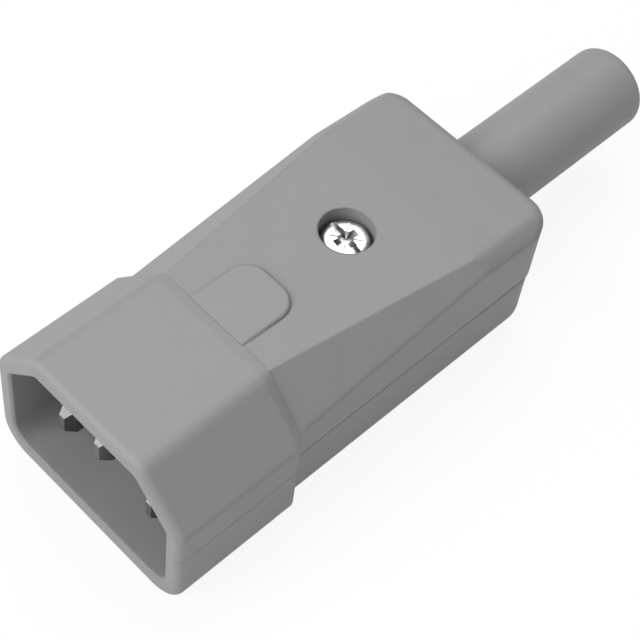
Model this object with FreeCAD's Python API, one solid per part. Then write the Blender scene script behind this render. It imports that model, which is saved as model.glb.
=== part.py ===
import FreeCAD, Part
import math
import os

from FreeCAD import Vector

# A rewireable three-pin appliance plug: a grey moulded lower housing with its
# shroud in one piece, a screwed-down cover, three contacts with screw terminals,
# a cord clamp and a round bend-protection boot. Lengths are in millimetres.
# Pieces are drawn with x running back from the front rim, y across the plug and
# z up from the axis of the opening, and are moved at the end so that the plug
# stands on z = 0 with x and y centred.

# Opening of the shroud, as the standard for 10 A appliance inlets sets it
opening_width = 24.6
opening_height = 16.6
opening_chamfer = 4.7
opening_bend = 0.8
opening_corner = 2.5
opening_depth = 16.5

# Contact pins, placed by the same standard
pin_pitch = 14.0
earth_rise = 4.0
pin_width = 4.0
pin_thickness = 2.0
pin_reach = 14.0
earth_extra_reach = 1.0
pin_tip_length = 1.3
pin_tip_width = 2.4
pin_tip_thickness = 0.8

# Clearances between pieces
slide_clearance = 0.1
thread_clearance = 0.05
screw_clearance = 0.2
wall_clearance = 0.15
seam_gap = 0.08

# Shroud round the opening: its walls, its upper chamfers and its tapered rear
shroud_side_wall = 2.25
shroud_top_wall = 2.2
shroud_bottom_wall = 2.4
shroud_chamfer_run = 6.25
shroud_chamfer_drop = 6.6
shroud_edge_round = 2.0
shroud_side_round = 1.2
shroud_corner = 4.2
shroud_taper = 1.1
lip_round = 1.0
lip_break = 0.3

# Bulkhead behind the opening and the comb that keeps the pins in it
bulkhead_thickness = 3.0
shoulder_thickness = 1.2
shoulder_overlap = 0.7
comb_thickness = 1.5
comb_height_above = 6.0

# Screw terminals behind the pins
tail_thickness = 1.4
tail_width = 2.8
tail_in_block = 3.0
block_length = 8.0
block_width = 4.6
block_height = 4.6
terminal_screw_back = 5.2
terminal_shank_radius = 1.25
terminal_shank_length = 3.6
terminal_head_radius = 2.1
terminal_head_height = 1.7
plate_thickness = 0.8
plate_edge_break = 0.35
plate_lip_thickness = 0.5
plate_lip_drop = 1.1
plate_length = 5.6
barrier_thickness = 0.8
barrier_height_above = 2.2
pedestal_inset = 0.3

# Screw that closes the housing, with its recess, posts and threaded insert
post_gap = 2.0
recess_radius = 3.2
recess_depth = 3.4
recess_wall = 1.3
closing_head_radius = 2.75
closing_head_height = 2.1
closing_head_break = 0.7
closing_shank_radius = 1.45
closing_shank_length = 11.4
lower_post_radius = 3.7
insert_radius = 2.2
insert_length = 6.5

# Cord clamp
cord_radius = 3.7
cord_rise = 0.2
clamp_gap = 0.5
clamp_length = 6.4
clamp_bed_below = 1.5
clamp_bar_thickness = 2.0
clamp_ear_thickness = 3.4
clamp_ear_end = 2.5
clamp_shank_radius = 1.35
clamp_shank_length = 8.4
clamp_head_radius = 2.4
clamp_head_height = 1.7

# Boot and the groove that holds its flange
boot_length = 27.5
boot_radius = 5.35
boot_end_bevel = 0.8
flange_radius = 7.0
flange_thickness = 2.0
flange_from_rear = 3.8
socket_gap = 1.5
groove_rib = 1.5
groove_side_wall = 1.6
boot_nose_length = 1.0

# Body behind the shroud: the top falls slowly to a crease and faster behind it,
# and the chamfers of the shroud run out towards the crease
body_side_room = 1.5
body_wall = 1.9
body_step_down = 0.2
body_step_up = 0.55
body_chamfer_run = 5.3
body_chamfer_drop = 5.9
crease_from_rear = 12.0
crease_chamfer_run = 1.55
top_slope = 1.8
rear_slope = 3.6
rear_lean = 0.2
rear_corner = 3.6
floor_round = 3.2
rear_top_round = 1.3
parting_below_axis = 0.3
parting_step = 0.15
seam_overhang = 0.1

# Raised tongue on the cover behind the shroud
tongue_width = 8.2
tongue_length = 8.4
tongue_corner = 2.8
tongue_edge_break = 0.2

# Tongues on the cover's side walls that drop inside the lower walls
locator_length = 12.0
locator_thickness = 1.0
locator_drop = 1.4
locator_from_shroud = 7.4

# Opening and shroud, worked out from the sizes above
half_opening_width = opening_width / 2
half_opening_height = opening_height / 2
shroud_half_width = half_opening_width + shroud_side_wall
shroud_top = half_opening_height + shroud_top_wall
shroud_bottom = -half_opening_height - shroud_bottom_wall
shroud_length = opening_depth + shroud_taper

# Places along the plug, each worked out from the piece before it
bulkhead_rear = opening_depth + bulkhead_thickness
comb_front = bulkhead_rear + shoulder_thickness
comb_rear = comb_front + comb_thickness
block_front = comb_rear + slide_clearance
block_rear = block_front + block_length
terminal_x = block_front + terminal_screw_back
post_radius = recess_radius + recess_wall
closing_x = block_rear + post_gap + post_radius
clamp_front = closing_x + post_radius + clamp_gap
clamp_x = clamp_front + clamp_length / 2
clamp_rear = clamp_front + clamp_length
socket_front = clamp_rear + socket_gap
flange_front = socket_front + groove_rib
flange_rear = flange_front + flange_thickness
body_rear = flange_rear + flange_from_rear
crease_x = body_rear - crease_from_rear
total_length = body_rear + boot_length

# Widths and heights of the body, worked out from what it holds
plate_inner_width = block_width + 2 * slide_clearance
plate_outer_width = plate_inner_width + 2 * plate_lip_thickness
barrier_middle = (block_width + pin_pitch - plate_outer_width) / 4
body_half_width = (pin_pitch + plate_outer_width) / 2 + body_side_room + body_wall
body_height_above = shroud_top - body_step_down
body_bottom = shroud_bottom + body_step_up
parting_z = -parting_below_axis
clamp_bed = -clamp_bed_below
clamp_ear_top = clamp_bed + clamp_ear_thickness
clamp_screw_half_pitch = cord_radius + clamp_bar_thickness + clamp_head_radius
clamp_half_span = clamp_screw_half_pitch + clamp_ear_end
groove_half_width = flange_radius + groove_side_wall
boot_bore_radius = cord_radius + screw_clearance

x_axis = Vector(1, 0, 0)
z_axis = Vector(0, 0, 1)

# Size that a cutting or limiting shape needs to clear the whole plug
clear_size = 2 * total_length

contacts = {
    "line": (pin_pitch / 2, -earth_rise / 2, pin_reach),
    "neutral": (-pin_pitch / 2, -earth_rise / 2, pin_reach),
    "earth": (0.0, earth_rise / 2, pin_reach + earth_extra_reach),
}


def block(x0, x1, y0, y1, z0, z1):
    """A box between two corners."""
    return Part.makeBox(x1 - x0, y1 - y0, z1 - z0, Vector(x0, y0, z0))


def centred_block(x0, x1, width, z0, z1, y=0.0):
    """A box of a given width, centred on y."""
    return block(x0, x1, y - width / 2, y + width / 2, z0, z1)


def upright(radius, x, y, z0, z1):
    """A cylinder that stands along z."""
    return Part.makeCylinder(radius, z1 - z0, Vector(x, y, z0), z_axis)


def lengthwise(radius, x0, x1):
    """A cylinder that lies along x, on the cord's axis."""
    return Part.makeCylinder(radius, x1 - x0, Vector(x0, 0, cord_rise), x_axis)


def above(z):
    """Everything higher than z."""
    return block(-clear_size, clear_size, -clear_size, clear_size, z, clear_size)


def below(z):
    """Everything lower than z."""
    return block(-clear_size, clear_size, -clear_size, clear_size, -clear_size, z)


def between(x0, x1):
    """Everything between two places along the plug."""
    return block(x0, x1, -clear_size, clear_size, -clear_size, clear_size)


def beyond(point, normal):
    """Everything on the far side of a plane through the point."""
    return Part.makeCylinder(clear_size, clear_size, point, normal)


def near(value, target, reach=0.01):
    return abs(value - target) < reach


def edges_where(shape, test):
    """Edges whose middle and ends all pass the test."""
    drawn = [edge for edge in shape.Edges if not edge.Degenerated]
    return [edge for edge in drawn if all(test(p) for p in edge.discretize(3))]


def outline(corners):
    """Closed flat wire through corners, each a point and the radius that rounds it."""
    ends = []
    for index, (point, radius) in enumerate(corners):
        to_last = (corners[index - 1][0] - point).normalize()
        to_next = (corners[(index + 1) % len(corners)][0] - point).normalize()
        half_angle = to_last.getAngle(to_next) / 2
        reach = radius / math.tan(half_angle)
        inward = (to_last + to_next).normalize()
        middle = point + inward * (radius / math.sin(half_angle) - radius)
        ends.append((point + to_last * reach, middle, point + to_next * reach, radius))
    edges = []
    for index, (start, middle, end, radius) in enumerate(ends):
        if radius > 0:
            edges.append(Part.Arc(start, middle, end).toShape())
        edges.append(Part.LineSegment(end, ends[(index + 1) % len(ends)][0]).toShape())
    return Part.Wire(edges)


def section(x, half, top, bottom, run, drop, rounds, inset=0.0):
    """Outline across the plug at x, with a chamfer at each upper side.

    The rounds are the radii at the chamfer's upper and lower end and at the lower
    corner. The inset moves every side in by the same amount.
    """
    slope = math.hypot(run, drop)
    side = half - inset
    level = top - inset
    flat = half - run - inset * (slope - run) / drop
    shoulder = top - drop - inset * (slope - drop) / run
    upper, lower, corner = [max(radius - inset, radius / 4) for radius in rounds]
    right = [(flat, level, upper), (side, shoulder, lower), (side, bottom + inset, corner)]
    left = [(-y, z, radius) for y, z, radius in reversed(right)]
    return outline([(Vector(x, y, z), radius) for y, z, radius in right + left])


def opening_section(x, inset=0.0):
    rounds = (opening_bend, opening_bend, opening_corner)
    return section(x, half_opening_width, half_opening_height, -half_opening_height,
                   opening_chamfer, opening_chamfer, rounds, inset)


def opening_prism(x0, x1, inset=0.0):
    """The opening's outline, carried from x0 to x1."""
    return Part.Face(opening_section(x0, inset)).extrude(Vector(x1 - x0, 0, 0))


def shroud_section(x):
    rounds = (shroud_edge_round, shroud_side_round, shroud_corner)
    return section(x, shroud_half_width, shroud_top, shroud_bottom,
                   shroud_chamfer_run, shroud_chamfer_drop, rounds)


def seam_section(x):
    """Outline of the shroud's rear end, just proud of the body."""
    rounds = (shroud_side_round, shroud_side_round, floor_round)
    return section(x, body_half_width, body_height_above, body_bottom,
                   body_chamfer_run, body_chamfer_drop, rounds, -seam_overhang)


def body_top(x):
    """Height of the top face, which falls faster behind the crease."""
    front_part = min(x, crease_x) - shroud_length
    rear_part = max(x - crease_x, 0)
    fall = front_part * math.tan(math.radians(top_slope))
    return body_height_above - fall - rear_part * math.tan(math.radians(rear_slope))


def rear_face_x(z):
    """Place of the leaning rear face at height z."""
    top = body_top(body_rear)
    return body_rear + (z - top) * rear_lean / (top - body_bottom)


def body_chamfers(side, inset):
    """What lies beyond the two chamfer planes on one side, before and behind the crease."""
    across = Vector(0, side * body_chamfer_run, -body_chamfer_drop)
    front = Vector(shroud_length, side * (body_half_width - body_chamfer_run), body_height_above)
    crease = Vector(crease_x, side * (body_half_width - crease_chamfer_run), body_top(crease_x))
    rear = Vector(body_rear, crease.y, body_top(body_rear))
    found = []
    for start, end in ((front, crease), (crease, rear)):
        normal = (end - start).cross(across) * side
        normal.normalize()
        found.append(beyond(start - normal * inset, normal))
    return found


def body_form(inset=0.0, front=shroud_length):
    """The body's outside, or the space inside its walls where an inset is given."""
    half = body_half_width - inset
    floor = body_bottom + inset
    top_rear = body_top(body_rear)
    side_view = [(front, floor), (rear_face_x(floor) - inset, floor),
                 (body_rear - inset, top_rear - inset), (crease_x, body_top(crease_x) - inset),
                 (front, body_top(front) - inset)]
    wire = outline([(Vector(x, -half, z), 0) for x, z in side_view])
    form = Part.Face(wire).extrude(Vector(0, 2 * half, 0))
    uprights = edges_where(form, lambda p: near(abs(p.y), half) and p.x > crease_x + 1)
    form = form.makeFillet(rear_corner - inset, uprights)
    if inset < body_wall / 2:
        edges = edges_where(form, lambda p: near(p.z, floor))
        edges = [edge for edge in edges if edge.BoundBox.XMax > front + 1]
        form = form.makeFillet(floor_round - inset, edges)
    for side in (-1, 1):
        form = form.cut(body_chamfers(side, inset))
    return form


def shroud_block():
    """Shroud's outside, drawn in at the rear to just proud of the body."""
    straight = Part.Face(shroud_section(0)).extrude(Vector(opening_depth, 0, 0))
    tapered = Part.makeLoft([shroud_section(opening_depth), seam_section(shroud_length)], True, True)
    straight = straight.makeFillet(lip_round, edges_where(straight, lambda p: near(p.x, 0)))
    return straight.fuse(tapered)


def opening_space():
    """Space inside the shroud, with a small break at its front edge."""
    flare = Part.makeLoft([opening_section(0, -lip_break), opening_section(lip_break)], True, True)
    return opening_prism(0, opening_depth).fuse(flare)


def pin_slot(name):
    """Slot through the bulkhead for one pin."""
    y, z, reach = contacts[name]
    width = pin_thickness + 2 * slide_clearance
    height = pin_width + 2 * slide_clearance
    return centred_block(opening_depth - 1, bulkhead_rear + 1, width, z - height / 2, z + height / 2, y)


def bulkhead():
    """Wall behind the opening, whose upper part stands inside the cover."""
    inner = body_form(body_wall + wall_clearance, opening_depth)
    upper = inner.common(between(opening_depth, bulkhead_rear)).common(above(parting_z - 1))
    lower = body_form(body_wall / 2).common(between(shroud_length, bulkhead_rear)).common(below(parting_z))
    return upper.fuse([lower, opening_prism(opening_depth, shroud_length, -1)])


def pedestals():
    """Supports under the three terminal blocks."""
    found = []
    for y, z, reach in contacts.values():
        found.append(centred_block(block_front + pedestal_inset, block_rear - pedestal_inset,
                                   block_width - 2 * pedestal_inset, body_bottom + body_wall / 2,
                                   z - block_height / 2, y))
    return found


def barriers():
    """Insulating walls between the terminals."""
    found = []
    for side in (-1, 1):
        found.append(centred_block(comb_rear + slide_clearance, block_rear + 1, barrier_thickness,
                                   body_bottom + body_wall / 2, barrier_height_above, side * barrier_middle))
    return found


def lower_post():
    """Post that carries the threaded insert, up to the parting plane."""
    return upright(lower_post_radius, closing_x, 0, body_bottom + body_wall / 2, parting_z)


def clamp_bed_block():
    """Bed for the cord with the bosses for the clamp screws."""
    return centred_block(clamp_front, clamp_rear, 2 * clamp_half_span, body_bottom + body_wall / 2, clamp_bed)


def boot_socket(z0, z1):
    """Solid round the boot's flange, between the inner rib and the rear wall."""
    return centred_block(socket_front, body_rear, 2 * groove_half_width, z0, z1)


def boot_space():
    """Space that the boot and its flange take up in the two housing parts."""
    neck = lengthwise(boot_radius + slide_clearance, socket_front - 1, body_rear + 2)
    groove = lengthwise(flange_radius + slide_clearance, flange_front - slide_clearance,
                        flange_rear + slide_clearance)
    return neck.fuse(groove)


def closing_screw_seat():
    """Height of the face that the closing screw's head bears on."""
    return body_top(closing_x) - recess_depth


def clamp_screw_holes():
    """Blind holes for the clamp screws in the two bosses."""
    bottom = clamp_ear_top - clamp_shank_length - screw_clearance
    radius = clamp_shank_radius + thread_clearance
    return [upright(radius, clamp_x, side * clamp_screw_half_pitch, bottom, clamp_ear_top) for side in (-1, 1)]


def lower_housing():
    """Lower housing: shroud, bulkhead and tray moulded in one piece."""
    room = body_form(body_wall).common(between(bulkhead_rear, body_rear))
    tray = body_form(parting_step).common(below(parting_z)).cut(room)
    kept = body_form(body_wall / 2)
    fittings = pedestals() + barriers() + [lower_post(), clamp_bed_block(), boot_socket(body_bottom, parting_z)]
    fittings = [piece.common(kept) for piece in fittings]
    whole = shroud_block().fuse([bulkhead(), tray] + fittings)

    tip = closing_screw_seat() - closing_shank_length - screw_clearance
    cuts = [
        opening_space(),
        boot_space(),
        upright(insert_radius, closing_x, 0, parting_z - insert_length, parting_z + 1),
        upright(closing_shank_radius + slide_clearance, closing_x, 0, tip, parting_z),
        lengthwise(cord_radius, clamp_front - 1, clamp_rear + 1),
    ]
    cuts += [pin_slot(name) for name in contacts] + clamp_screw_holes()
    return whole.cut(cuts).removeSplitter()


def tongue():
    """Raised tongue that runs back from the shroud, level with its top."""
    rear = shroud_length + tongue_length
    half = tongue_width / 2
    z = body_top(rear) - body_wall / 2
    corners = [(shroud_length, -half, 0), (rear, -half, tongue_corner),
               (rear, half, tongue_corner), (shroud_length, half, 0)]
    wire = outline([(Vector(x, y, z), radius) for x, y, radius in corners])
    pad = Part.Face(wire).extrude(Vector(0, 0, shroud_top - z))
    top = edges_where(pad, lambda p: near(p.z, shroud_top))
    top = [edge for edge in top if not near(edge.BoundBox.XMax, shroud_length)]
    return pad.makeChamfer(tongue_edge_break, top)


def locators():
    """Two tongues below the cover's side walls, inside the lower walls."""
    front = shroud_length + locator_from_shroud
    rear = front + locator_length
    outer = body_half_width - body_wall - wall_clearance
    inner = outer - locator_thickness
    root = body_half_width - body_wall / 2
    top = parting_z + body_wall
    found = []
    for side in (-1, 1):
        tab = block(front, rear, inner, outer, parting_z - locator_drop, top)
        tab = tab.fuse(block(front, rear, inner, root, parting_z, top))
        if side < 0:
            tab = tab.mirror(Vector(0, 0, 0), Vector(0, 1, 0))
        found.append(tab)
    return found


def cover():
    """Cover: a shell with the screw recess, its post and the boot's upper half socket."""
    outside = body_form()
    crown = edges_where(outside, lambda p: p.x > crease_x - 0.01 and p.z > body_top(p.x) - 0.01)
    crown = [edge for edge in crown if edge.BoundBox.XMax > crease_x + 0.1]
    outside = outside.makeFillet(rear_top_round, crown).common(above(parting_z))
    shell = outside.cut(body_form(body_wall).common(between(0, body_rear)))
    seat = closing_screw_seat()
    high = body_height_above
    kept = body_form(body_wall / 2)
    post = upright(post_radius, closing_x, 0, parting_z, high).common(kept)
    socket = boot_socket(parting_z, high).common(kept)
    whole = shell.fuse([post, socket, tongue()] + locators())
    cuts = [
        between(0, shroud_length + seam_gap),
        boot_space(),
        upright(recess_radius, closing_x, 0, seat, high + 1),
        upright(closing_shank_radius + screw_clearance, closing_x, 0, parting_z - 1, seat + 1),
    ]
    return whole.cut(cuts).removeSplitter()


def pin(name):
    """Contact pin: bevelled tip, blade, shoulder behind the bulkhead and tail."""
    y, z, reach = contacts[name]
    tip = opening_depth - reach
    blade_start = tip + pin_tip_length
    point = Part.makeWedge(-pin_tip_width / 2, 0, -pin_tip_thickness / 2,
                           -pin_thickness / 2, -pin_width / 2,
                           pin_tip_width / 2, pin_tip_length, pin_tip_thickness / 2,
                           pin_thickness / 2, pin_width / 2)
    point.rotate(Vector(0, 0, 0), Vector(1, 1, 1), -120)
    point.translate(Vector(tip, y, z))
    blade = centred_block(blade_start, bulkhead_rear, pin_thickness, z - pin_width / 2, z + pin_width / 2, y)
    shoulder_half_height = pin_width / 2 + shoulder_overlap
    shoulder = centred_block(bulkhead_rear, comb_front, pin_thickness + 2 * shoulder_overlap,
                             z - shoulder_half_height, z + shoulder_half_height, y)
    tail = centred_block(comb_front, block_front + tail_in_block, tail_thickness,
                         z - tail_width / 2, z + tail_width / 2, y)
    return point.fuse([blade, shoulder, tail]).removeSplitter()


def terminal_block(name):
    """Brass block on the pin's tail, with a threaded hole from above."""
    y, z, reach = contacts[name]
    half = block_height / 2
    body = centred_block(block_front, block_rear, block_width, z - half, z + half, y)
    half_tail = tail_width / 2 + thread_clearance
    tail_room = centred_block(block_front - 1, block_front + tail_in_block + thread_clearance,
                              tail_thickness + 2 * thread_clearance, z - half_tail, z + half_tail, y)
    depth = terminal_shank_length + screw_clearance
    hole = upright(terminal_shank_radius + thread_clearance, terminal_x, y, z + half - depth, z + half + 1)
    return body.cut([tail_room, hole])


def clamp_plate(name):
    """Saddle plate under the terminal screw's head, with a lip down each side."""
    y, z, reach = contacts[name]
    seat = z + block_height / 2
    top = seat + plate_thickness
    x0 = terminal_x - plate_length / 2
    x1 = terminal_x + plate_length / 2
    saddle = centred_block(x0, x1, plate_outer_width, seat - plate_lip_drop, top, y)
    sides = edges_where(saddle, lambda p: near(p.z, top) and near(abs(p.y - y), plate_outer_width / 2))
    saddle = saddle.makeChamfer(plate_edge_break, sides)
    hollow = centred_block(x0 - 1, x1 + 1, plate_inner_width, seat - plate_lip_drop - 1, seat, y)
    hole = upright(terminal_shank_radius + screw_clearance, terminal_x, y, seat - 1, top + 1)
    return saddle.cut([hollow, hole])


def flat_screw(x, y, seat, head_radius, head_height, shank_radius, shank_length):
    """Cheese-head screw whose head stands on the seat and whose shank points down."""
    head = upright(head_radius, x, y, seat, seat + head_height)
    return head.fuse(upright(shank_radius, x, y, seat - shank_length, seat))


def terminal_screw(name):
    y, z, reach = contacts[name]
    seat = z + block_height / 2 + plate_thickness
    return flat_screw(terminal_x, y, seat, terminal_head_radius, terminal_head_height,
                      terminal_shank_radius, terminal_shank_length + plate_thickness)


def closing_screw():
    """Screw in the cover's recess, with a break round the top of its head."""
    seat = closing_screw_seat()
    screw = flat_screw(closing_x, 0, seat, closing_head_radius, closing_head_height,
                       closing_shank_radius, closing_shank_length)
    rim = edges_where(screw, lambda p: near(p.z, seat + closing_head_height))
    return screw.makeChamfer(closing_head_break, rim)


def clamp_screw(side):
    return flat_screw(clamp_x, side * clamp_screw_half_pitch, clamp_ear_top, clamp_head_radius,
                      clamp_head_height, clamp_shank_radius, clamp_shank_length)


def threaded_insert():
    """Brass bush in the lower post."""
    bottom = parting_z - insert_length
    bush = upright(insert_radius, closing_x, 0, bottom, parting_z)
    return bush.cut(upright(closing_shank_radius + thread_clearance, closing_x, 0, bottom - 1, parting_z + 1))


def pin_comb():
    """Insulating comb dropped in behind the pins' shoulders."""
    plate = body_form(body_wall + wall_clearance).common(between(comb_front, comb_rear))
    plate = plate.common(below(comb_height_above))
    slots = []
    for y, z, reach in contacts.values():
        top = z + tail_width / 2 + slide_clearance
        slots.append(centred_block(comb_front - 1, comb_rear + 1, tail_thickness + 2 * slide_clearance,
                                   body_bottom, top, y))
    return plate.cut(slots)


def cord_clamp_bar():
    """Bar across the cord: an arch over the cord between two flat ears."""
    ears = centred_block(clamp_front, clamp_rear, 2 * clamp_half_span, clamp_bed, clamp_ear_top)
    arch = lengthwise(cord_radius + clamp_bar_thickness, clamp_front, clamp_rear).common(above(clamp_bed))
    bar = ears.fuse(arch).cut(lengthwise(cord_radius, clamp_front - 1, clamp_rear + 1))
    holes = []
    for side in (-1, 1):
        holes.append(upright(clamp_shank_radius + screw_clearance, clamp_x, side * clamp_screw_half_pitch,
                             clamp_bed - 1, clamp_ear_top + 1))
    return bar.cut(holes).removeSplitter()


def boot():
    """Bend-protection boot: nose, flange and sleeve, with a bevelled end."""
    nose = flange_front - boot_nose_length
    bevel = min(boot_end_bevel, (boot_radius - boot_bore_radius) * 0.9)
    profile = [(nose, boot_bore_radius), (nose, boot_radius), (flange_front, boot_radius),
               (flange_front, flange_radius), (flange_rear, flange_radius), (flange_rear, boot_radius),
               (total_length - bevel, boot_radius), (total_length, boot_radius - bevel),
               (total_length, boot_bore_radius)]
    points = [Vector(x, 0, cord_rise + radius) for x, radius in profile]
    face = Part.Face(Part.makePolygon(points + points[:1]))
    return face.revolve(Vector(0, 0, cord_rise), x_axis, 360)


def pieces():
    """Every piece of the plug by name, in assembly order."""
    made = {"lower_housing": lower_housing()}
    for name in contacts:
        made[name + "_pin"] = pin(name)
    made["pin_comb"] = pin_comb()
    for name in contacts:
        made[name + "_terminal_block"] = terminal_block(name)
        made[name + "_clamp_plate"] = clamp_plate(name)
        made[name + "_terminal_screw"] = terminal_screw(name)
    made["threaded_insert"] = threaded_insert()
    made["cord_clamp_bar"] = cord_clamp_bar()
    made["left_clamp_screw"] = clamp_screw(1)
    made["right_clamp_screw"] = clamp_screw(-1)
    made["strain_relief_boot"] = boot()
    made["cover"] = cover()
    made["closing_screw"] = closing_screw()
    return made


os.makedirs("parts", exist_ok=True)
for node, shape in pieces().items():
    shape.translate(Vector(-total_length / 2, 0, -shroud_bottom))
    shape.exportStep("parts/" + node + ".step")
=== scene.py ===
import math

import bpy
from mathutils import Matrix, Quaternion, Vector


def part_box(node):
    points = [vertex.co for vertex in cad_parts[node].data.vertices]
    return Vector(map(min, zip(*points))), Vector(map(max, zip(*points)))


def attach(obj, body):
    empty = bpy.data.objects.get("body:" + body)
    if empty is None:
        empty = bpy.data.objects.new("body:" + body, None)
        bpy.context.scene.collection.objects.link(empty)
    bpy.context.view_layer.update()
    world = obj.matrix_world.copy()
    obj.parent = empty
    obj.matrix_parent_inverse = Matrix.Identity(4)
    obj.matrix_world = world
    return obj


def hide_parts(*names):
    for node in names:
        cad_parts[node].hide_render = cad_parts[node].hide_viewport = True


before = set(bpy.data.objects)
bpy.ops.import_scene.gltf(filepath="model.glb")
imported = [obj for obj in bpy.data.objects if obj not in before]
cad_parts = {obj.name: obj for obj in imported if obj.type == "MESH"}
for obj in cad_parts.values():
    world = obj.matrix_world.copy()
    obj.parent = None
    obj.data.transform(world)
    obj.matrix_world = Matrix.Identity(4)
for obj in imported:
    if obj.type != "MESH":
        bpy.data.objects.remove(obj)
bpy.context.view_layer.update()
bpy.ops.object.select_all(action="DESELECT")
scene = bpy.context.scene
scene.view_settings.view_transform = "Standard"


# Lower housing: shroud, bulkhead and tray in one piece, injection moulded in
# grey polyamide. The steel mould is spark-eroded, which leaves a fine satin
# grain, and its two halves leave a witness line along each side.
class Field:
    """An output of a finish's nodes, on which sums are written as for numbers."""

    def __init__(self, finish, socket):
        self.finish = finish
        self.socket = socket

    def _sum(self, operation, first, second):
        return self.finish.node("ShaderNodeMath", {"operation": operation}, {0: first, 1: second})

    def __add__(self, other):
        return self._sum("ADD", self, other)

    def __radd__(self, other):
        return self._sum("ADD", other, self)

    def __sub__(self, other):
        return self._sum("SUBTRACT", self, other)

    def __rsub__(self, other):
        return self._sum("SUBTRACT", other, self)

    def __mul__(self, other):
        return self._sum("MULTIPLY", self, other)

    def __rmul__(self, other):
        return self._sum("MULTIPLY", other, self)


class Recipe:
    """A tree of shading nodes."""

    def __init__(self, tree):
        self.tree = tree

    def node(self, kind, settings, inputs, output=0):
        made = self.tree.nodes.new(kind)
        for key, value in settings.items():
            setattr(made, key, value)
        for key, value in inputs.items():
            if isinstance(value, Field):
                self.tree.links.new(value.socket, made.inputs[key])
            else:
                made.inputs[key].default_value = value
        return Field(self, made.outputs[output])


class Finish(Recipe):
    """A material whose nodes read the place on the plug in metres."""

    def __init__(self, name, **values):
        self.material = bpy.data.materials.new(name)
        self.material.use_nodes = True
        super().__init__(self.material.node_tree)
        self.shader = self.tree.nodes["Principled BSDF"]
        for key, value in values.items():
            self.put(key.replace("_", " "), value)
        self.place = self.node("ShaderNodeTexCoord", {}, {}, "Object")

    def put(self, name, value):
        if isinstance(value, Field):
            self.tree.links.new(value.socket, self.shader.inputs[name])
        elif name == "Base Color":
            self.shader.inputs[name].default_value = (*value, 1.0)
        else:
            self.shader.inputs[name].default_value = value

    def noise(self, scale, detail=2.0, roughness=0.5, place=None):
        return self.node("ShaderNodeTexNoise", {}, {
            "Vector": place or self.place, "Scale": scale, "Detail": detail, "Roughness": roughness})

    def axes(self):
        return [self.node("ShaderNodeSeparateXYZ", {}, {0: self.place}, axis)
                for axis in (0, 1, 2)]

    def blend(self, share, first, second):
        inputs = {0: share, 6: first, 7: second}
        return self.node("ShaderNodeMix", {"data_type": "RGBA"}, inputs, 2)

    def bump(self, height, distance, edge=None):
        """Raises the grain, and rounds the edges for the light where a radius is given."""
        inputs = {"Strength": 1.0, "Distance": distance, "Height": height}
        if edge is not None:
            inputs["Normal"] = self.node(
                "ShaderNodeBevel", {"samples": bevel_samples}, {"Radius": edge})
        self.put("Normal", self.node("ShaderNodeBump", {}, inputs))

    def ease(self, value, start, end):
        """0 up to start, rising softly to 1 at end."""
        settings = {"interpolation_type": "SMOOTHSTEP", "clamp": True}
        inputs = {"Value": value, "From Min": start, "From Max": end}
        return self.node("ShaderNodeMapRange", settings, inputs)

    def math(self, operation, first, second=0.0):
        return self.node("ShaderNodeMath", {"operation": operation}, {0: first, 1: second})

    def line(self, place, middle, half_width):
        """1 on a line round the plug, falling softly to 0 beside it."""
        return 1.0 - self.ease(self.math("ABSOLUTE", place - middle), 0.0, half_width)

    def cover(self, piece):
        piece.data.materials.clear()
        piece.data.materials.append(self.material)

    def dress(self, *names):
        for name in names:
            self.cover(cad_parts[name])


def shade(red, green, blue):
    return (red, green, blue, 1.0)


bevel_samples = 5
shroud_rear = -0.0247
seam_along, seam_reach = -0.02465, 0.0012
witness_height, witness_width, shroud_half_width = 0.0102, 0.00012, 0.0138
parting_height, parting_width = 0.0104, 0.00013
body_half_width, body_rear = 0.0128, 0.0138
edge_round, side_round, rear_round = 0.00042, 0.0007, 0.0009
grey_plastic = Finish("grey_polyamide", Metallic=0.0, IOR=1.5)
grain = grey_plastic.noise(5200.0, 3.0, 0.6)
cloud = grey_plastic.noise(240.0, 3.0, 0.55)
along, across, height = grey_plastic.axes()
aside = grey_plastic.math("ABSOLUTE", across)
on_shroud = grey_plastic.math("LESS_THAN", along, shroud_rear)
shroud_side = on_shroud * grey_plastic.math("GREATER_THAN", aside, shroud_half_width)
witness = grey_plastic.line(height, witness_height, witness_width) * shroud_side
body_side = grey_plastic.math("GREATER_THAN", aside, body_half_width)
body_end = grey_plastic.math("GREATER_THAN", along, body_rear)
body_skin = grey_plastic.math("MAXIMUM", body_side, body_end) * (1.0 - on_shroud)
parting = grey_plastic.line(height, parting_height, parting_width) * body_skin
grey = grey_plastic.blend(cloud * 0.75 + grain * 0.25,
                          shade(0.300, 0.290, 0.295), shade(0.345, 0.334, 0.339))
grey = grey_plastic.blend(witness * 0.6, grey, shade(0.20, 0.19, 0.19))
grey = grey_plastic.blend(parting * 0.8, grey, shade(0.06, 0.06, 0.06))
grey_plastic.put("Base Color", grey)
grey_plastic.put("Roughness", 0.44 + cloud * 0.16)
below_top = grey_plastic.ease(height, 0.0196, 0.0188) * (1.0 - on_shroud)
behind_crease = grey_plastic.ease(along, 0.0026, 0.0050)
off_seam = 1.0 - grey_plastic.line(along, seam_along, seam_reach)
edge = (edge_round + below_top * side_round + behind_crease * rear_round) * off_seam
relief = grain + cloud * 0.6 - witness * 4.0 - parting * 6.0
grey_plastic.bump(relief, 0.000018, edge)
grey_plastic.dress("lower_housing")

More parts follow.
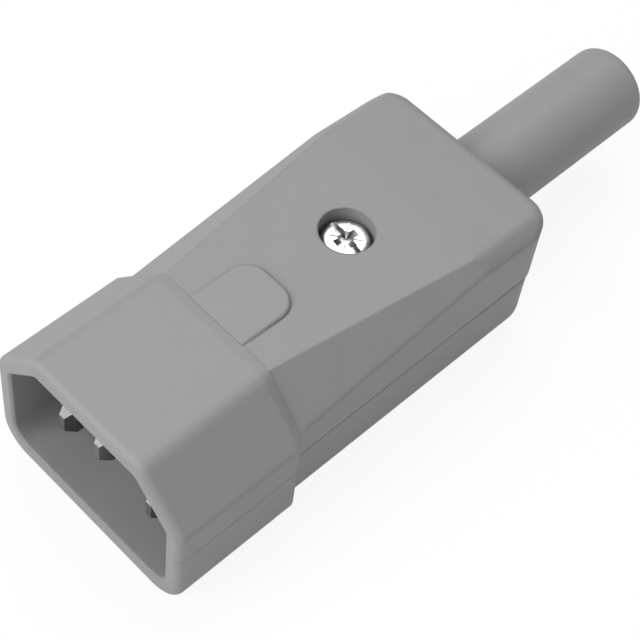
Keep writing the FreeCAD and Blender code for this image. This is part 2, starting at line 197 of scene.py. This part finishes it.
# Contact pins: three flat pins cut from half-hard brass strip, their tips
# coined to a blunt wedge, then nickel plated.
nickel = Finish("nickel_plate", Metallic=1.0)
along_the_strip = (120.0, 5200.0, 5200.0)
strokes = nickel.node("ShaderNodeMapping", {}, {0: nickel.place, 3: along_the_strip})
drawn = nickel.noise(1.0, 2.0, 0.5, strokes)
dulled = nickel.noise(700.0, 3.0, 0.6)
nickel.put("Base Color", nickel.blend(dulled, shade(0.11, 0.11, 0.11),
                                      shade(0.19, 0.187, 0.184)))
nickel.put("Roughness", 0.24 + drawn * 0.16)
nickel.bump(drawn, 0.000006, 0.00008)
nickel.dress("line_pin", "neutral_pin", "earth_pin")

# Pin comb: a plate of pale phenolic dropped in behind the pins' shoulders.
ivory = Finish("pale_phenolic", Metallic=0.0)
fleck = ivory.noise(900.0, 4.0, 0.6)
ivory.put("Base Color", ivory.blend(fleck, shade(0.56, 0.52, 0.43), shade(0.68, 0.65, 0.57)))
ivory.put("Roughness", 0.42 + fleck * 0.2)
ivory.bump(fleck, 0.00002)
ivory.dress("pin_comb")

# Terminals: brass blocks sawn from bar, each with a pressed saddle plate and a
# zinc-plated slotted screw, whose cut thread clamps the stripped wire.
brass = Finish("sawn_brass", Metallic=1.0)
tarnish = brass.noise(420.0, 4.0, 0.6)
across_the_bar = (6000.0, 300.0, 900.0)
saw = brass.node("ShaderNodeMapping", {}, {0: brass.place, 3: across_the_bar})
saw_marks = brass.noise(1.0, 2.0, 0.5, saw)
brass.put("Base Color", brass.blend(tarnish, shade(0.70, 0.50, 0.22),
                                    shade(0.82, 0.62, 0.30)))
brass.put("Roughness", 0.24 + saw_marks * 0.2)
brass.bump(saw_marks, 0.00001, 0.00006)
zinc = Finish("zinc_plate", Metallic=1.0)
spangle = zinc.noise(1500.0, 3.0, 0.6)
bright = zinc.blend(zinc.ease(spangle, 0.3, 0.7), shade(0.52, 0.52, 0.515),
                    shade(0.78, 0.78, 0.775))
# Painted shade: where ambient occlusion finds the slots and the star recess closed in, the zinc's colour
# is blended down to dark grey, broken up by noise. These hollows are painted darker than the plating is.
recess_openness_for_painted_shade = zinc.node("ShaderNodeAmbientOcclusion", {"samples": 6, "only_local": True},
                       {"Distance": 0.0011}, 1)
painted_shade_breakup = zinc.noise(2600.0, 2.0, 0.5)
hollow = zinc.ease(recess_openness_for_painted_shade + (painted_shade_breakup - 0.5) * 0.5, 0.40, 0.85)
zinc.put("Base Color", zinc.blend(hollow, shade(0.30, 0.30, 0.30), bright))
zinc.put("Roughness", 0.26 + spangle * 0.16)
zinc.bump(spangle, 0.000008)


def turned(name, middle, rings, axis=2, sides=48, hollow=False):
    """A round piece drawn out ring by ring, each given as place along the axis and radius."""
    place, radius = rings[0]
    middle = Vector(middle)
    middle[axis] = place
    bpy.ops.object.select_all(action="DESELECT")
    bpy.ops.mesh.primitive_circle_add(
        vertices=sides, radius=radius, location=middle,
        rotation=(0, math.pi / 2, 0) if axis == 0 else (0, 0, 0),
        fill_type="NOTHING" if hollow else "NGON")
    piece = bpy.context.object
    piece.name = name
    bpy.ops.object.transform_apply(location=True, rotation=True, scale=True)
    bpy.ops.object.mode_set(mode="EDIT")
    bpy.ops.mesh.select_all(action="SELECT")
    for next_place, next_radius in rings[1:]:
        step = Vector((0, 0, 0))
        step[axis] = next_place - place
        bpy.ops.mesh.extrude_region_move(TRANSFORM_OT_translate={"value": step})
        factor = [next_radius / radius] * 3
        factor[axis] = 1.0
        middle[axis] = next_place
        bpy.ops.transform.resize(value=factor, center_override=middle)
        place, radius = next_place, next_radius
    if hollow:
        bpy.ops.mesh.select_mode(type="EDGE")
        bpy.ops.mesh.select_all(action="DESELECT")
        bpy.ops.mesh.select_non_manifold()
        bpy.ops.mesh.bridge_edge_loops()
    bpy.ops.mesh.select_all(action="SELECT")
    bpy.ops.mesh.normals_make_consistent(inside=False)
    bpy.ops.object.mode_set(mode="OBJECT")
    return piece


def mill(piece, middle, size, turn):
    """Cuts a straight slot with leaning walls into the head of a screw."""
    bpy.ops.object.select_all(action="DESELECT")
    bpy.ops.mesh.primitive_cone_add(vertices=4, radius1=0.28, radius2=math.sqrt(0.5), depth=1,
                                    rotation=(0, 0, math.pi / 4))
    bpy.ops.object.transform_apply(location=False, rotation=True, scale=False)
    cutter = bpy.context.object
    cutter.location, cutter.rotation_euler, cutter.scale = middle, (0, 0, turn), size
    modifier = piece.modifiers.new("slot", "BOOLEAN")
    modifier.operation = "DIFFERENCE"
    modifier.solver = "EXACT"
    modifier.object = cutter
    bpy.context.view_layer.objects.active = piece
    bpy.ops.object.modifier_apply(modifier="slot")
    bpy.data.meshes.remove(cutter.data)


def screw(node, shank, head_height, slots):
    """A screw with a cut thread; each slot is given as length, width, depth and turn."""
    low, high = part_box(node)
    middle = (low + high) / 2
    head = (high.x - low.x) / 2
    seat = high.z - head_height
    pitch, thread_depth = 0.0006, 0.00018
    rings = [(low.z, shank * 0.55), (low.z + pitch, shank - thread_depth)]
    turns = int((seat - low.z - 2 * pitch) / pitch)
    for crest in range(turns):
        start = low.z + (crest + 1) * pitch
        rings += [(start + pitch * 0.4, shank), (start + pitch * 0.5, shank),
                  (start + pitch, shank - thread_depth)]
    rim, edge = 0.0001, head * 0.2
    rings += [(seat, shank), (seat, head - rim), (seat + rim, head), (high.z - edge, head)]
    for step in range(1, 6):
        angle = math.radians(90 - step * 15)
        rings.append((high.z - edge + edge * 0.95 * math.cos(angle),
                      head - edge * (1 - math.sin(angle))))
    rings.append((high.z, head * 0.72))
    piece = turned(node + "_turned", middle, rings)
    for length, width, depth, turn in slots:
        size = (length, width, 2 * depth)
        mill(piece, (middle.x, middle.y, high.z), size, math.radians(turn))
    bpy.ops.object.select_all(action="DESELECT")
    piece.select_set(True)
    bpy.context.view_layer.objects.active = piece
    bpy.ops.object.shade_smooth_by_angle(angle=math.radians(32))
    zinc.cover(piece)
    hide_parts(node)
    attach(piece, "root")


for contact, turn in (("line", 24), ("neutral", -38), ("earth", 71)):
    brass.dress(contact + "_terminal_block")
    zinc.dress(contact + "_clamp_plate")
    screw(contact + "_terminal_screw", 0.00125, 0.0017, [(0.006, 0.0007, 0.0008, turn)])

# Threaded insert: knurled brass bush pressed into the lower post.
brass.dress("threaded_insert")

# Cord clamp: a bar moulded in the housing's grey, held down by two screws with
# slotted heads.
grey_plastic.dress("cord_clamp_bar")
for side, turn in (("left", 12), ("right", 65)):
    screw(side + "_clamp_screw", 0.00135, 0.0017, [(0.006, 0.0008, 0.0008, turn)])

# Strain relief boot: a sleeve of soft grey PVC on a nose and a flange, which
# sits in a groove between the two housing parts. The cord runs through its bore.
soft_pvc = Finish("grey_soft_pvc", Metallic=0.0)
skin = soft_pvc.noise(3800.0, 3.0, 0.55)
haze = soft_pvc.noise(170.0, 3.0, 0.5)
soft_pvc.put("Base Color", soft_pvc.blend(haze, shade(0.300, 0.293, 0.293),
                                          shade(0.340, 0.332, 0.332)))
soft_pvc.put("Roughness", 0.46 + haze * 0.14)
soft_pvc.bump(skin + haze * 0.5, 0.00001)
boot_low, boot_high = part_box("strain_relief_boot")
boot_middle = (boot_low + boot_high) / 2
sleeve, bore, flange, rounding = 0.00535, 0.0039, 0.0070, 0.0013
front, rear = boot_low.x, boot_high.x
flange_front, flange_rear = front + 0.001, front + 0.003
chip = 0.0002
boot_rings = [(front + chip, bore), (front, bore + chip),
              (front, sleeve - chip), (front + chip, sleeve),
              (flange_front, sleeve), (flange_front, flange - chip), (flange_front + chip, flange),
              (flange_rear - chip, flange), (flange_rear, flange - chip), (flange_rear, sleeve)]
boot_rings += [(flange_rear + step * 0.0025, sleeve) for step in range(1, 12)]
for step in range(8):
    angle = math.radians(step * 90 / 8)
    boot_rings.append((rear - rounding + rounding * math.sin(angle),
                       sleeve - rounding * (1 - math.cos(angle))))
boot_rings += [(rear, bore + 0.00015), (rear - chip, bore)]
boot = turned("bend_protection_boot", boot_middle, boot_rings, axis=0, sides=96, hollow=True)
bpy.ops.object.select_all(action="DESELECT")
boot.select_set(True)
bpy.context.view_layer.objects.active = boot
bpy.ops.object.shade_smooth_by_angle(angle=math.radians(40))
soft_pvc.cover(boot)
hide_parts("strain_relief_boot")
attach(boot, "root")

# Cover: moulded like the housing, with the sunk seat for the screw and a raised
# tongue behind the shroud. Its front edge is pressed into the shroud's rear edge.
pressed_in = 0.0001
cad_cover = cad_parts["cover"]
cover = cad_cover.copy()
cover.data = cad_cover.data.copy()
cover.name = "moulded_cover"
scene.collection.objects.link(cover)
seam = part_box("cover")[0].x
for vertex in cover.data.vertices:
    if abs(vertex.co.x - seam) < 0.00001:
        vertex.co.x -= pressed_in
grey_plastic.cover(cover)
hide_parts("cover")
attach(cover, "root")

# Closing screw: zinc-plated pan head with a slot across a star recess, which
# draws the cover down on to the insert.
slot_turn = 82
screw("closing_screw", 0.00145, 0.0021, [
    (0.0100, 0.00100, 0.0006, slot_turn), (0.0042, 0.00130, 0.0009, slot_turn),
    (0.0042, 0.00130, 0.0009, slot_turn + 90), (0.0026, 0.0026, 0.0007, slot_turn + 45),
    (0.0062, 0.00018, 0.00014, slot_turn + 45), (0.0062, 0.00018, 0.00014, slot_turn - 45)])

# Floor: a white table. Its own white shows behind the plug, and its share of
# real light keeps the plug's soft shadow.
bpy.ops.object.select_all(action="DESELECT")
bpy.ops.mesh.primitive_plane_add(size=6.0, location=(0, 0, 0))
floor = bpy.context.object
floor.name = "white_floor"
table_white = Finish("table_white", Base_Color=(0.82, 0.82, 0.82), Roughness=0.7)
table_white.cover(floor)


def rays(recipe):
    """1 for what the camera sees directly, and 1 for what it sees in a gloss or through glass."""
    direct, glossy, through = [recipe.node("ShaderNodeLightPath", {}, {}, ray)
                               for ray in ("Is Camera Ray", "Is Glossy Ray", "Is Transmission Ray")]
    return direct, glossy + through


direct, mirrored = rays(table_white)
glow = table_white.node("ShaderNodeEmission", {}, {"Color": (1, 1, 1, 1), "Strength": 1.03})
lit = Field(table_white, table_white.shader.outputs[0])
mixed = table_white.node("ShaderNodeMixShader", {}, {0: direct * 0.88 + mirrored * 0.4, 1: lit, 2: glow})
table_white.tree.links.new(mixed.socket, table_white.tree.nodes["Material Output"].inputs[0])

# Light: a wide soft box in front and one above, in a dim pale room that is a
# little brighter on the side of the camera.
for name, side, energy in (("front_box", (-1.0, 0.3, 0.9), 6.2),
                           ("upper_box", (0.3, 0.35, 1.0), 4.3)):
    side = Vector(side).normalized()
    box = bpy.data.lights.new(name, "AREA")
    box.shape = "SQUARE"
    box.size = 0.72
    box.energy = energy
    soft_box = bpy.data.objects.new(name, box)
    scene.collection.objects.link(soft_box)
    soft_box.location = side
    soft_box.rotation_mode = "QUATERNION"
    soft_box.rotation_quaternion = (-side).to_track_quat("-Z", "Y")
world = bpy.data.worlds.new("pale_room")
scene.world = world
world.use_nodes = True
room = Recipe(world.node_tree)
direction = room.node("ShaderNodeTexCoord", {}, {}, "Generated")
behind, left = [room.node("ShaderNodeSeparateXYZ", {}, {0: direction}, axis)
                for axis in (0, 1)]
direct, mirrored = rays(room)
strength = 0.24 - behind * 0.15 - left * 0.12 + direct * 0.77 + mirrored * 0.44
background = world.node_tree.nodes["Background"]
background.inputs["Color"].default_value = (1, 1, 1, 1)
world.node_tree.links.new(strength.socket, background.inputs["Strength"])

# Camera: at the photograph's angle, distance and lens.
azimuth = math.radians(-50.983)
elevation = math.radians(54.427)
roll = math.radians(8.487)
distance = 0.202755
look_at = Vector((0.00275, 0.0, 0.0107))
shift_right, shift_down = 0.007969, -0.008476
forward = -Vector((math.sin(azimuth) * math.cos(elevation),
                   -math.cos(azimuth) * math.cos(elevation), math.sin(elevation)))
level_right = forward.cross(Vector((0, 0, 1))).normalized()
level_down = forward.cross(level_right)
right = math.cos(roll) * level_right - math.sin(roll) * level_down
down = math.sin(roll) * level_right + math.cos(roll) * level_down
lens = bpy.data.cameras.new("photo_camera")
lens.sensor_width = 36.0
lens.lens = 99.239
lens.clip_start, lens.clip_end = 0.01, 10.0
camera = bpy.data.objects.new("photo_camera", lens)
scene.collection.objects.link(camera)
camera.location = look_at - shift_right * right - shift_down * down - distance * forward
camera.rotation_mode = "QUATERNION"
camera.rotation_quaternion = forward.to_track_quat("-Z", "Y") @ Quaternion((0, 0, 1), roll)
scene.camera = camera
